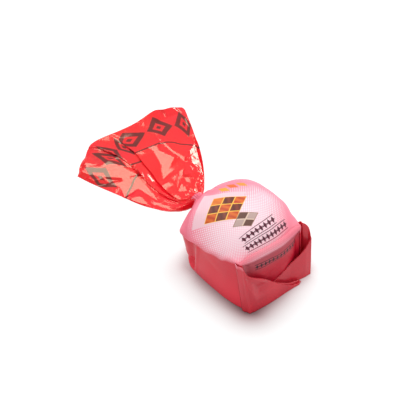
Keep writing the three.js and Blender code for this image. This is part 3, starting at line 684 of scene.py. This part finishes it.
def build_block():
    n = BLOCK_N
    w = np.arange(n) / n
    full = np.append(w, 1.0)
    film_u = (0.25 - full) * AROUND
    shell = Shell(n)
    top = step(.09, .14, w) * (1 - step(.37, .42, w))
    low = step(.60, .64, w) * (1 - step(.86, .90, w))
    ws = np.where(w > .5, w - 1, w)
    right = step(-.11, -.07, ws) * (1 - step(.05, .10, ws))
    radius = 1.2 + 0.9 * top - 0.6 * low + 1.5 * right

    def inset(P, amount):
        """Moves the outline inward in x and z."""
        a = np.roll(P, -3, 0) - np.roll(P, 3, 0)
        nrm = np.stack([-a[:, 2], a[:, 0]], 1)
        nrm /= np.maximum(np.linalg.norm(nrm, axis=1), 1e-9)[:, None]
        Q = P.copy()
        Q[:, 0] += nrm[:, 0] * amount
        Q[:, 2] += nrm[:, 1] * amount
        return Q

    # the front panel, from its middle out to the rounded rim
    rim_side, _ = block_points(PANEL_Y + radius)
    flat = inset(rim_side, radius)
    fx, fz = flat[:, 0], flat[:, 2]
    cx = fx * 0.02
    cz = np.full(n, 9.3)
    rows = []
    for k in np.linspace(0.03, 1, 44):
        x, z = mix(cx, fx, k), mix(cz, fz, k)
        y = front_y(x, z)
        rows.append((np.stack([x, y, z], 1), k))
    seam = rim_side[:, 1] - radius          # the plane that the rim's rounding ends in
    for P, k in rows:
        blend = step(.80, 1.0, k)
        P[:, 1] = mix(P[:, 1], seam, blend)
        shell.ring(P, np.append(P[:, 0], P[0, 0]), -12.5 - 1.03 * (19.4 - np.append(P[:, 2], P[0, 2])))
        if k == rows[0][1]:
            shell.mark_first()
    shell.before = (film_u, np.full(n + 1, -12.5))
    for a in np.radians([80, 70, 60, 50, 40, 30, 20, 10]):
        P = inset(rim_side, radius * (1 - math.cos(math.pi / 2 - a)))
        P[:, 1] = seam + radius * (1 - math.sin(math.pi / 2 - a))
        shell.ring(P, film_u, -12.5 + np.append(radius, radius[0]) * 1.57 * (1 - a / (math.pi / 2)))
    ts = np.concatenate([np.linspace(0, .72, 78)[:-1], np.linspace(.72, 1, 64)])
    start = PANEL_Y + radius
    run, before = None, None
    for t in ts:
        y0 = start + (25.2 - start) * t
        P, _ = block_points(y0)
        col = n // 4
        if before is None:
            run = -9.2
        else:
            run += float(np.linalg.norm(P[col] - before))
        before = P[col].copy()
        shell.ring(P, film_u, run)
    # collar: the film's edge rolls in round the neck
    for y0, r in ((25.9, 1.0), (26.3, .97), (26.4, .90), (26.2, .82), (25.6, .76), (24.8, .70)):
        P, _ = block_points(min(y0, 26.4))
        c = np.array([NECK[0], 0, NECK[2]])
        P[:, [0, 2]] = c[[0, 2]] + (P[:, [0, 2]] - c[[0, 2]]) * r
        P[:, 1] = y0
        shell.ring(P, film_u, run + abs(y0 - 25.2))
    shell.cap([NECK[0], 24.6, NECK[2]], False)
    shell.cap([0, float(front_y(np.array(0.0), np.array(9.3))), 9.3], True, centre_uv=True)
    obj = make_mesh("wrapper_block", np.concatenate(shell.v), shell.f, shell.t)
    return outward(obj)


# ------------------------------------------------------------------------ flaps
def plan_path(points, corner, smooth=6):
    """The flap's line seen from above at the base, through points, evenly spaced; front is 0 on the side, 1 past the corner."""
    P = np.array(points, float)
    t = np.concatenate([[0], np.cumsum(np.linalg.norm(np.diff(P, axis=0), axis=1))])
    fine = np.linspace(0, t[-1], 1500)
    Q = np.stack([np.interp(fine, t, P[:, 0]), np.interp(fine, t, P[:, 1])], 1)
    k = np.exp(-np.linspace(-2.5, 2.5, 2 * smooth * 5 + 1) ** 2)
    k /= k.sum()
    pad = smooth * 5
    for c in (0, 1):
        ext = np.concatenate([2 * Q[0, c] - Q[1:pad + 1, c][::-1], Q[:, c], 2 * Q[-1, c] - Q[-pad - 1:-1, c][::-1]])
        Q[:, c] = np.convolve(ext, k, "valid")
    run = np.concatenate([[0], np.cumsum(np.linalg.norm(np.diff(Q, axis=0), axis=1))])
    want = np.linspace(0, run[-1], 170)
    Q = np.stack([np.interp(want, run, Q[:, 0]), np.interp(want, run, Q[:, 1])], 1)
    front = step(t[corner] - 0.9, t[corner] + 0.9, want * t[-1] / run[-1])
    return Q, front, want


def build_flap(name, side, plan, top_at, shape_at, thick_at, groove_at, low=0.1):
    """A folded flap: an outer face, a folded edge with a groove between its two layers, and a back face."""
    P, front, run = plan
    nz = 56
    tangent = np.gradient(P, axis=0)
    tangent /= np.linalg.norm(tangent, axis=1)[:, None]
    out_n = np.stack([tangent[:, 1], -tangent[:, 0]], 1) * (-side)
    verts, lines = [], []
    for k in range(len(P)):
        px, py, fr = P[k, 0], P[k, 1], front[k]
        zt = float(top_at(px, py, fr))
        th = float(thick_at(px, py, fr))
        deep, rise = groove_at(px, py, fr)
        zs = low + (zt - low) * np.linspace(0, 1, nz) ** 0.9
        prof = [(z, 0.0) for z in zs[:-1]]
        r = min(0.15 + 0.04 * th, th / 4)
        for a in np.linspace(0, np.pi, 7):
            prof.append((zt + r * np.sin(a), r - r * np.cos(a)))
        mid = max(th - 4 * r, 1e-3)
        for f in (0.2, 0.4, 0.6, 0.8):
            prof.append((zt - deep * math.sin(math.pi * f) ** 0.6 + rise * f, 2 * r + mid * f))
        for a in np.linspace(0, np.pi, 7):
            prof.append((zt + rise + r * np.sin(a), th - 2 * r + r - r * np.cos(a)))
        zs = low + (zt + rise - low) * np.linspace(0, 1, nz) ** 0.9
        for z in zs[::-1][1:]:
            prof.append((z, th))
        prof = np.array(prof)
        z, back = prof[:, 0], prof[:, 1]
        dx, dy, swell = shape_at(px, py, z, fr)
        x = px + out_n[k, 0] * (swell - back) + dx
        y = py + out_n[k, 1] * (swell - back) + dy
        verts.append(np.stack([x, y, z], 1))
        lines.append(np.concatenate([[0], np.cumsum(np.linalg.norm(np.diff(prof, axis=0), axis=1))]))
    m = len(verts[0])
    shell = Shell(m)
    for k, V in enumerate(verts):
        s = np.append(lines[k], lines[k][-1] + 0.3)
        shell.ring(V, side * (30 + run[k]) * np.ones(m + 1), s - 40)
        if k == 0:
            shell.mark_first()
    shell.cap(verts[0].mean(0), True)
    shell.cap(verts[-1].mean(0), False)
    return outward(make_mesh(name, np.concatenate(shell.v), shell.f, shell.t))


def build_left_flap():
    plan = plan_path([(-14.9, -4.5), (-15.25, -7.5), (-14.95, -11.0), (-14.1, -12.9), (-12.5, -13.5), (-8.5, -14.1), (-4.9, -14.4),
                      (-1.0, -14.6), (1.7, -14.75), (4.5, -14.95), (6.4, -15.2), (7.6, -14.8)], 3, 4)

    def top_at(x, y, f):
        side_z = through([-12.0, -10, -8, -4.5], [19.3, 19.4, 18.9, 18.2], y)
        front_z = through([-14.6, -13.2, -12.4, -8.0, -2.6, 1.0, 4.3, 6.4, 7.6], [18.9, 15.9, 15.0, 11.1, 5.9, 3.0, .95, .6, .5], x)
        return mix(side_z, front_z, f)

    def shape_at(x, y, z, f):
        h = z / FRONT_H
        dx = -0.9 * h * (1 - step(-13.5, -7, x))
        dy = FRONT_LEAN * h * mix(1 - step(-10.5, -4.5, y), 1.0, f)
        ang = np.degrees(np.arctan2(18.5 - z, x + 15.5))
        rr = np.hypot(x + 15.5, z - 18.5)
        fan = 0.34 * wave(ang / 26.0 + 0.15) * step(1.0, 6, rr) * (1 - step(11, 18, rr))
        swell = f * (fan + 0.06 * facets(x, z, 5.5, 7.2)) + 0.10
        # a flat dent under the fold and a swell beside the corner
        swell = swell + f * (0.40 * bump_at(x, -12.2, 1.6) * bump_at(z, 8.5, 6.0) - 0.55 * bump_at(x, -7.6, 3.4) * bump_at(z, 8.6, 1.7) + 0.25 * bump_at(x, -8.0, 4.0) * bump_at(z, 5.2, 1.5))
        swell = swell + 0.30 * bump_at(f, .5, .35) + 0.05 * bump_at(f, .85, .12) * wave(z / 14.0)
        swell = swell - (1 - f) * 1.1 * step(-10.9, -8.6, y)
        return dx, dy, swell

    def thick(x, y, f):
        side_t = through([-12.0, -9, -4.5], [.30, .22, .14], y)
        return mix(side_t, through([-14.6, -8, -3, 1, 4.5, 6.4, 7.6], [.32, .42, .55, .8, 1.15, 1.2, .8], x), f)

    def groove(x, y, f):
        return (f * through([-14.6, -6, 0, 4, 6.4, 7.6], [.03, .15, .6, .75, .45, .15], x), f * through([-14.6, -5, 0, 4, 7.6], [0, .10, .45, .55, .2], x))

    return build_flap("wrapper_flap_left", -1, plan, top_at, shape_at, thick, groove)


def build_right_flap():
    plan = plan_path([(14.4, -3.5), (14.1, -6.5), (13.75, -9.5), (13.7, -11.8), (13.3, -13.2), (12.75, -14.45), (10.5, -14.35), (8.0, -13.75), (5.0, -13.0),
                      (1.0, -12.75), (-4.5, -12.5)], 5, 3)

    def top_at(x, y, f):
        side_z = through([-14.4, -13.3, -12.9, -12.0, -10.5, -8.5, -6.0, -3.5], [14.0, 15.6, 16.9, 18.5, 18.9, 18.2, 17.4, 17.0], y)
        front_z = through([-4.5, -1.7, .2, 3.1, 6.2, 9.0, 11.2, 12.4, 13.0], [3.8, 5.0, 5.7, 6.9, 8.4, 10.1, 12.0, 13.4, 14.0], x)
        return mix(side_z, front_z, f)

    def shape_at(x, y, z, f):
        h = z / FRONT_H
        dx = h * mix(2.2 * (1 - step(-13.9, -11.2, y)), 2.2 * step(3, 12, x), f)
        dy = 3.1 * h * mix(1 - step(-12.0, -5.0, y), 1.0, f)
        swell = 0.05 + f * (0.30 * bump_at(x, 8, 4) * bump_at(z, 5, 4) + 0.07 * facets(x, z, 5.5, 9.1))
        # the pocket's wall has one bend across it
        swell = swell + (1 - f) * (0.30 * bump_at(y, -12.9, .7) - 0.10 * bump_at(y, -11.6, .7)) * step(8, 15, z)
        swell = swell + 0.12 * bump_at(f, .5, .3) - (1 - f) * 1.0 * step(-11.0, -6.5, y)
        return dx, dy, swell

    def thick(x, y, f):
        return mix(through([-13, -9, -3.5], [.30, .24, .14], y), .36, f)

    def groove(x, y, f):
        return (.04, 0.0)

    return build_flap("wrapper_flap_right", 1, plan, top_at, shape_at, thick, groove)


# ---------------------------------------------------------------- shader helper
class Value:
    """A number in a node tree, so that a pattern can be written as arithmetic."""

    def __init__(self, graph, source):
        self.g, self.s = graph, source

    def op(self, kind, *others, clamp=False):
        return self.g.math(kind, self, *others, clamp=clamp)

    def __add__(self, o): return self.op("ADD", o)
    def __radd__(self, o): return self.op("ADD", o)
    def __sub__(self, o): return self.op("SUBTRACT", o)
    def __rsub__(self, o): return self.g.math("SUBTRACT", o, self)
    def __mul__(self, o): return self.op("MULTIPLY", o)
    def __rmul__(self, o): return self.op("MULTIPLY", o)
    def __truediv__(self, o): return self.op("DIVIDE", o)
    def __neg__(self): return self.op("MULTIPLY", -1.0)
    def abs(self): return self.op("ABSOLUTE")
    def frac(self): return self.op("FRACT")
    def floor(self): return self.op("FLOOR")
    def min(self, o): return self.op("MINIMUM", o)
    def max(self, o): return self.op("MAXIMUM", o)
    def sin(self): return self.op("SINE")
    def sqrt(self): return self.op("SQRT")
    def clamp(self): return self.g.math("ADD", self, 0.0, clamp=True)

    def ramp(self, a, b):
        """0 at a, 1 at b, smooth between."""
        n = self.g.node("ShaderNodeMapRange")
        n.interpolation_type = "SMOOTHSTEP"
        self.g.put(n.inputs["Value"], self)
        if a < b:
            n.inputs["From Min"].default_value, n.inputs["From Max"].default_value = a, b
        else:
            n.inputs["From Min"].default_value, n.inputs["From Max"].default_value = b, a
            n.inputs["To Min"].default_value, n.inputs["To Max"].default_value = 1.0, 0.0
        return Value(self.g, n.outputs["Result"])


class Graph:
    def __init__(self, name):
        self.mat = bpy.data.materials.new(name)
        self.mat.use_nodes = True
        self.tree = self.mat.node_tree
        self.tree.nodes.clear()
        self.count = 0

    def node(self, kind):
        n = self.tree.nodes.new(kind)
        n.location = (180 * (self.count % 14), -160 * (self.count // 14))
        self.count += 1
        return n

    def put(self, socket, value):
        if isinstance(value, Value):
            self.tree.links.new(value.s, socket)
        elif hasattr(value, "is_output"):
            self.tree.links.new(value, socket)
        else:
            socket.default_value = value

    def math(self, kind, *values, clamp=False):
        n = self.node("ShaderNodeMath")
        n.operation = kind
        n.use_clamp = clamp
        for k, v in enumerate(values):
            self.put(n.inputs[k], v)
        return Value(self, n.outputs[0])

    def uv(self):
        n = self.node("ShaderNodeUVMap")
        n.uv_map = "film"
        s = self.node("ShaderNodeSeparateXYZ")
        self.put(s.inputs[0], n.outputs["UV"])
        return Value(self, s.outputs[0]) * 100.0, Value(self, s.outputs[1]) * 100.0

    def place(self):
        n = self.node("ShaderNodeTexCoord")
        return n.outputs["Object"]

    def split(self, vector):
        s = self.node("ShaderNodeSeparateXYZ")
        self.put(s.inputs[0], vector)
        return [Value(self, s.outputs[k]) for k in range(3)]

    def noise(self, scale, detail=2.0, rough=0.5, vector=None, warp=0.0):
        n = self.node("ShaderNodeTexNoise")
        self.put(n.inputs["Vector"], vector if vector is not None else self.place())
        n.inputs["Scale"].default_value = scale
        n.inputs["Detail"].default_value = detail
        n.inputs["Roughness"].default_value = rough
        n.inputs["Distortion"].default_value = warp
        return Value(self, n.outputs[0])

    def colour(self, rgb):
        return tuple(rgb) + (1.0,)

    def blend(self, a, b, t, kind="MIX"):
        """a and b are colours (tuples or outputs), t a number or Value."""
        n = self.node("ShaderNodeMix")
        n.data_type = "RGBA"
        n.blend_type = kind
        self.put(n.inputs[0], t)
        for socket, c in ((n.inputs[6], a), (n.inputs[7], b)):
            if isinstance(c, tuple) and len(c) == 3:
                c = self.colour(c)
            self.put(socket, c)
        return n.outputs[2]

    def bump(self, height, strength, distance=0.0002):
        n = self.node("ShaderNodeBump")
        n.inputs["Strength"].default_value = strength
        n.inputs["Distance"].default_value = distance
        self.put(n.inputs["Height"], height)
        return n.outputs["Normal"]

    def finish(self, surface):
        out = self.node("ShaderNodeOutputMaterial")
        self.tree.links.new(surface, out.inputs["Surface"])
        return self.mat


def srgb(r, g, b):
    def one(c):
        c /= 255
        return c / 12.92 if c <= 0.04045 else ((c + 0.055) / 1.055) ** 2.4
    return (one(r), one(g), one(b))


RED = (0.86, 0.012, 0.022)          # the film's clear red
MAROON = (0.15, 0.006, 0.012)


# -------------------------------------------------------------------- materials
def tail_material():
    g = Graph("red_glossy_film")
    u, v = g.uv()
    wob = (g.noise(220.0, 2.0) - 0.5) * 0.25
    # a row of open lozenges along the free edge, and a thin line past it
    across = ((u / 8.0).frac() - 0.5).abs() * 8.0
    lozenge = across / 3.7 + (v + wob - 7.0).abs() / 5.3
    row_ink = (lozenge.ramp(1.03, .97) * lozenge.ramp(.49, .55)).max(lozenge.ramp(.24, .18))
    line = (v - 15.5 + wob * 0.5).abs().ramp(0.36, 0.24)
    ink = row_ink.max(line)
    cloud = g.noise(60.0, 3.0, 0.6)
    base = g.blend(RED, (0.80, 0.010, 0.030), cloud.ramp(.35, .7))
    dark = g.blend(MAROON, (0.20, 0.010, 0.016), g.noise(140.0, 2.0).ramp(.3, .7))
    col = g.blend(base, dark, ink)
    fine = g.noise(900.0, 3.0, 0.55, warp=0.6) * 0.6 + g.noise(2600.0, 2.0, 0.5) * 0.25
    norm = g.bump(fine, 0.055, 0.00012)
    p = g.node("ShaderNodeBsdfPrincipled")
    g.put(p.inputs["Base Color"], col)
    p.inputs["IOR"].default_value = 1.5
    p.inputs["Specular IOR Level"].default_value = 0.55
    p.inputs["Specular Tint"].default_value = (1.0, 0.97, 0.68, 1.0)
    g.put(p.inputs["Roughness"], g.noise(300.0, 2.0).ramp(.2, .9) * 0.05 + 0.105)
    g.put(p.inputs["Normal"], norm)
    t = g.node("ShaderNodeBsdfTranslucent")
    glow = g.blend((0.95, 0.010, 0.020), (0.10, 0.003, 0.006), ink)
    g.put(t.inputs["Color"], glow)
    m = g.node("ShaderNodeMixShader")
    m.inputs[0].default_value = 0.30
    g.tree.links.new(p.outputs[0], m.inputs[1])
    g.tree.links.new(t.outputs[0], m.inputs[2])
    return g.finish(m.outputs[0])


def block_material(name="pink_printed_film"):
    g = Graph(name)
    u, v = g.uv()
    # the printed panel lies between the film's two long folds
    au = u.abs()
    side = au.ramp(20.6, 21.8)
    # halftone: white dots on pink, larger towards the middle
    pitch = 0.70
    a = (u + v) * (0.7071 / pitch)
    b = (u - v) * (0.7071 / pitch)
    da, db = a.frac() - 0.5, b.frac() - 0.5
    far = (da * da + db * db).sqrt()
    r = ((u + 6.0) * (u + 6.0) / 400.0 + (v - 1.0) * (v - 1.0) / 290.0).sqrt()
    size = r.ramp(1.10, .45) * 0.20 + 0.17
    dots = (far - size).ramp(0.09, -0.09) * r.ramp(1.05, .88)
    haze = r.ramp(1.08, .25)
    pink = g.blend((0.76, 0.20, 0.275), (0.79, 0.48, 0.56), haze)
    panel = g.blend(pink, (0.80, 0.67, 0.70), dots)

    # a plain motif in amber and brown: chequered lozenges on a pale one
    def turned(cu, cv, ru, rv, turn):
        du, dv = u - cu, v - cv
        c, s = math.cos(turn), math.sin(turn)
        p, q = (du * c + dv * s) / ru, (dv * c - du * s) / rv
        return p, q, p.abs() + q.abs()

    p, q, m0 = turned(-6.4, 12.0, 11.2, 7.8, -0.16)
    panel = g.blend(panel, (0.74, 0.49, 0.54), m0.ramp(1.015, .985) * 0.9)
    p, q, m1 = turned(-5.2, 9.8, 8.6, 5.9, -0.16)
    e, f = (p + q) * 1.5 + 0.5, (p - q) * 1.5 + 0.5
    odd = ((e.floor() + f.floor()) * 0.5).frac() * 2.0
    third = ((e.floor() * 1.0 + f.floor() * 2.0) / 3.0).frac().ramp(.2, .9)
    edge = ((e.frac() - 0.5).abs()).max((f.frac() - 0.5).abs())
    streak = (p * 22.0 + (q * 9.0).sin() * 1.2).sin() * 0.5 + 0.5
    amber = g.blend((0.44, 0.05, 0.012), (0.72, 0.17, 0.018), streak * 0.6)
    brown = g.blend((0.10, 0.018, 0.010), (0.24, 0.04, 0.014), streak * 0.6)
    fill = g.blend(amber, brown, odd)
    fill = g.blend(fill, (0.70, 0.22, 0.02), third * (odd * -1.0 + 1.0) * 0.7)
    fill = g.blend(fill, (0.80, 0.44, 0.06), edge.ramp(.43, .47))
    panel = g.blend(panel, fill, m1.ramp(1.015, .985))
    p, q, m3 = turned(-4.0, 2.0, 5.2, 3.1, -0.16)
    e, f = p + q, p - q
    odd = (((e + 1.0).floor() + (f + 1.0).floor()) * 0.5).frac() * 2.0
    small = g.blend((0.42, 0.30, 0.27), (0.12, 0.055, 0.04), odd)
    small = g.blend(small, (0.62, 0.46, 0.36), (e.abs().min(f.abs())).ramp(.10, .05))
    panel = g.blend(panel, (0.30, 0.17, 0.12), m3.ramp(1.06, 1.02))
    panel = g.blend(panel, small, m3.ramp(.98, .94))
    for cu, cv, c in ((1.2, 16.4, (0.82, 0.30, 0.04)), (4.2, 15.6, (0.80, 0.13, 0.03)), (6.9, 14.0, (0.82, 0.24, 0.04))):
        p, q, m = turned(cu, cv, 1.25, 2.2, 0.25)
        panel = g.blend(panel, c, m.ramp(1.04, .96))

    # rows of small lozenges between rules
    def ornament(panel, row_v, lo, hi, period, tall, wide, colour):
        w = ((u - lo) / period).frac() - 0.5
        d = w.abs() / wide + (v - row_v).abs() / tall
        inside = (u - lo).ramp(-0.02, 0.02) * (u - hi).ramp(0.02, -0.02)
        rules = ((v - row_v).abs() - tall * 1.22).abs().ramp(.15, .08)
        seeds = (((w.abs() - 0.5).abs()) / (wide * .36) + (v - row_v).abs() / (tall * .36)).ramp(1.06, .94)
        shape = (d.ramp(1.04, .94)).max(rules).max(seeds) * inside
        return g.blend(panel, colour, shape)

    panel = ornament(panel, -3.4, -11.4, 5.6, 2.125, 1.18, 0.40, (0.085, 0.014, 0.028))
    panel = ornament(panel, -7.0, -13.0, 10.4, 2.127, 1.18, 0.40, (0.085, 0.014, 0.028))

    red = g.blend((0.64, 0.016, 0.034), (0.58, 0.020, 0.040), g.noise(70.0, 2.0).ramp(.3, .7))
    # painted reflection: lower down the red is lighter, standing in for the white table shining into the film
    high = g.split(g.place())[2]
    red = g.blend(red, (0.80, 0.042, 0.070), high.ramp(0.0150, 0.0) * 0.75)
    # past a slanting pleat near the neck the film is plain
    panel = g.blend(panel, (0.74, 0.17, 0.24), (v - u.min(2.0) * 0.45 - 23.4).ramp(-.25, .25))
    # the print fades to pink round the folds
    col = g.blend(panel, (0.74, 0.13, 0.18), au.ramp(18.6, 21.0) * 0.55)
    col = g.blend(col, (0.73, 0.15, 0.20), v.ramp(-6.8, -11.8) * 0.68)
    col = g.blend(col, red, side)
    # the part folded down in front: pink print at its top, deep red lower down; both are painted darker than the same
    # print outside, as shade in the recess behind the flaps
    inner = g.blend((0.40, 0.060, 0.082), (0.50, 0.003, 0.022), (v + u * -0.12).ramp(-13.5, -20.0))
    inner = ornament(inner, -16.4, -9.6, 8.8, 1.532, 0.80, 0.38, (0.035, 0.006, 0.012))
    col = g.blend(col, inner, v.ramp(-11.9, -13.1))
    fine = g.noise(500.0, 3.0, 0.55, warp=0.4) * 0.7 + g.noise(1800.0, 2.0, 0.5) * 0.3
    norm = g.bump(fine, 0.08, 0.00015)
    p = g.node("ShaderNodeBsdfPrincipled")
    g.put(p.inputs["Base Color"], col)
    p.inputs["IOR"].default_value = 1.5
    p.inputs["Specular IOR Level"].default_value = 0.28
    g.put(p.inputs["Roughness"], side * -0.24 + 0.45 + g.noise(160.0, 2.0).ramp(.2, .9) * 0.05)
    g.put(p.inputs["Normal"], norm)
    t = g.node("ShaderNodeBsdfTranslucent")
    g.put(t.inputs["Color"], col)
    m = g.node("ShaderNodeMixShader")
    m.inputs[0].default_value = 0.05
    g.tree.links.new(p.outputs[0], m.inputs[1])
    g.tree.links.new(t.outputs[0], m.inputs[2])
    return g.finish(m.outputs[0])


def flap_material():
    g = Graph("red_satin_film")
    base = g.blend((0.71, 0.030, 0.052), (0.63, 0.027, 0.050), g.noise(120.0, 3.0, 0.6).ramp(.3, .7))
    x, y, z = g.split(g.place())
    # the print's pink shows where the film is rolled over at the top corner
    ear = z.ramp(.0180, .0190) * x.ramp(-.0080, -.0100)
    base = g.blend(base, (0.76, 0.20, 0.26), ear)
    run, lie = g.uv()
    # painted highlights: lighter vertical streaks along the rounded corner post, where its creases would catch the
    # light
    post_painted_highlights = (run + 36.9 + (lie * 0.21).sin() * 0.35).abs().ramp(.75, .25).max((run + 38.2 + (lie * 0.17 + 1.0).sin() * 0.25).abs().ramp(.45, .08) * 0.5)
    base = g.blend(base, (0.74, 0.055, 0.085), post_painted_highlights * 0.5 * x.ramp(-.0100, -.0120) * lie.ramp(-38.0, -33.0))
    fine = g.noise(500.0, 3.0, 0.55, warp=0.4) * 0.7 + g.noise(1800.0, 2.0, 0.5) * 0.3
    norm = g.bump(fine, 0.07, 0.00015)
    p = g.node("ShaderNodeBsdfPrincipled")
    g.put(p.inputs["Base Color"], base)
    p.inputs["IOR"].default_value = 1.5
    g.put(p.inputs["Roughness"], g.noise(160.0, 2.0).ramp(.2, .9) * 0.06 + 0.13)
    g.put(p.inputs["Normal"], norm)
    t = g.node("ShaderNodeBsdfTranslucent")
    g.put(t.inputs["Color"], base)
    m = g.node("ShaderNodeMixShader")
    m.inputs[0].default_value = 0.24
    g.tree.links.new(p.outputs[0], m.inputs[1])
    g.tree.links.new(t.outputs[0], m.inputs[2])
    return g.finish(m.outputs[0])


# ------------------------------------------------------------------------ scene
def build_stage():
    mesh = bpy.data.meshes.new("studio_floor")
    s = 3.0
    mesh.from_pydata([(-s, -s, -0.00005), (s, -s, -0.00005), (s, s, -0.00005), (-s, s, -0.00005)], [], [(0, 1, 2, 3)])
    floor = bpy.data.objects.new("studio_floor", mesh)
    bpy.context.scene.collection.objects.link(floor)
    # a white table that glows evenly, with a shadow painted into its glow round the block's base, deepest at its front
    # left
    g = Graph("white_floor")
    px, py, pz = g.split(g.place())
    px, py = px * 1000.0, py * 1000.0
    dx = ((px - 0.0).abs() - 12.0).max(0.0)
    dy = ((py - 2.2).abs() - 13.4).max(0.0)
    away = ((dx * dx + dy * dy).sqrt() - 3.0).max(0.0)
    # painted shadow: how dark the painted shadow is on each side of the block, and how far out it reaches
    painted_shadow_depth = (px * -0.028 + py * -0.017 + 0.24).max(0.15).min(0.84)
    fall = g.math("EXPONENT", away * (-1 / 5.4))
    close = g.math("EXPONENT", away * (-1 / 3.0))
    shade = (painted_shadow_depth * fall * -1.0 + 1.0)
    # painted contact shade: ambient occlusion darkens the glow right at the block's base
    ao = g.node("ShaderNodeAmbientOcclusion")
    ao.samples = 12
    ao.inputs["Distance"].default_value = 0.0065
    near = Value(g, ao.outputs["AO"]).ramp(0.30, 1.0)
    d = g.node("ShaderNodeBsdfDiffuse")
    d.inputs["Color"].default_value = (0.12, 0.12, 0.12, 1)
    e = g.node("ShaderNodeEmission")
    # painted shadow colour: pink where the painted shadow and contact shade are deepest
    painted_shadow_tint = (close * painted_shadow_depth * 1.25).min(1.0).max((near * -1.0 + 1.0) * 0.8)
    g.put(e.inputs["Color"], g.blend((1.0, 1.0, 1.0), (1.0, 0.42, 0.46), painted_shadow_tint))
    g.put(e.inputs["Strength"], shade * (near * 0.54 + 0.46))
    a = g.node("ShaderNodeAddShader")
    g.tree.links.new(d.outputs[0], a.inputs[0])
    g.tree.links.new(e.outputs[0], a.inputs[1])
    floor.data.materials.append(g.finish(a.outputs[0]))

    # a white tent: bright overhead, dimmer towards the horizon
    world = bpy.data.worlds.new("studio")
    bpy.context.scene.world = world
    world.use_nodes = True
    tree = world.node_tree
    where = tree.nodes.new("ShaderNodeTexCoord")
    axes = tree.nodes.new("ShaderNodeSeparateXYZ")
    rise = tree.nodes.new("ShaderNodeMapRange")
    rise.interpolation_type = "SMOOTHSTEP"
    rise.inputs["From Min"].default_value, rise.inputs["From Max"].default_value = 0.0, 0.75
    rise.inputs["To Min"].default_value, rise.inputs["To Max"].default_value = 0.45, 1.15
    tree.links.new(where.outputs["Generated"], axes.inputs[0])
    tree.links.new(axes.outputs[2], rise.inputs["Value"])
    tree.links.new(rise.outputs[0], tree.nodes["Background"].inputs[1])
    tree.nodes["Background"].inputs[0].default_value = (1.0, 0.99, 0.985, 1)


def softbox(name, direction, distance, size_x, size_y, radiance, colour=(1, 1, 1), aim=(0.0, 0.02, 0.014)):
    """An area light at a direction from the object, giving that radiance from its face."""
    from mathutils import Vector
    light = bpy.data.lights.new(name, "AREA")
    light.shape = "RECTANGLE"
    light.size, light.size_y = size_x, size_y
    light.energy = radiance * math.pi * size_x * size_y
    light.color = colour
    obj = bpy.data.objects.new(name, light)
    bpy.context.scene.collection.objects.link(obj)
    d = Vector(direction).normalized()
    obj.location = Vector(aim) + d * distance
    obj.rotation_euler = d.to_track_quat("Z", "Y").to_euler()
    return obj


def build_camera():
    cam = bpy.data.cameras.new("photo_camera")
    obj = bpy.data.objects.new("photo_camera", cam)
    bpy.context.scene.collection.objects.link(obj)
    az, el, dist = math.radians(-43.5), math.radians(43.0), 387.9
    v = np.array([math.sin(az) * math.cos(el), -math.cos(az) * math.cos(el), math.sin(el)])
    target = np.array([4.561, 29.944, 8.62])
    obj.location = (target + dist * v) * MM
    from mathutils import Vector
    obj.rotation_euler = Vector(-v).to_track_quat("-Z", "Y").to_euler()
    cam.sensor_width = 36.0
    cam.lens = 101.65
    cam.clip_start, cam.clip_end = 0.02, 10
    bpy.context.scene.camera = obj


build_stage()
build_camera()
softbox("top_back_softbox", (0.075, 0.53, 0.845), 0.60, 0.22, 0.22, 8.5)
softbox("right_back_light", (0.844, 0.326, 0.427), 0.60, 0.15, 0.13, 20.0)
softbox("right_key", (0.85, -0.25, 0.55), 0.60, 0.30, 0.25, 3.0)
bpy.context.scene.view_settings.view_transform = "Standard"

tail = build_tail()
tail.data.materials.append(tail_material())
block = build_block()
block.data.materials.append(block_material())
satin = flap_material()
flap_l = build_left_flap()
flap_l.data.materials.append(satin)
flap_r = build_right_flap()
flap_r.data.materials.append(satin)

for piece in (block, tail, flap_l, flap_r):
    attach(piece, "root")
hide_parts("wrapped_praline")
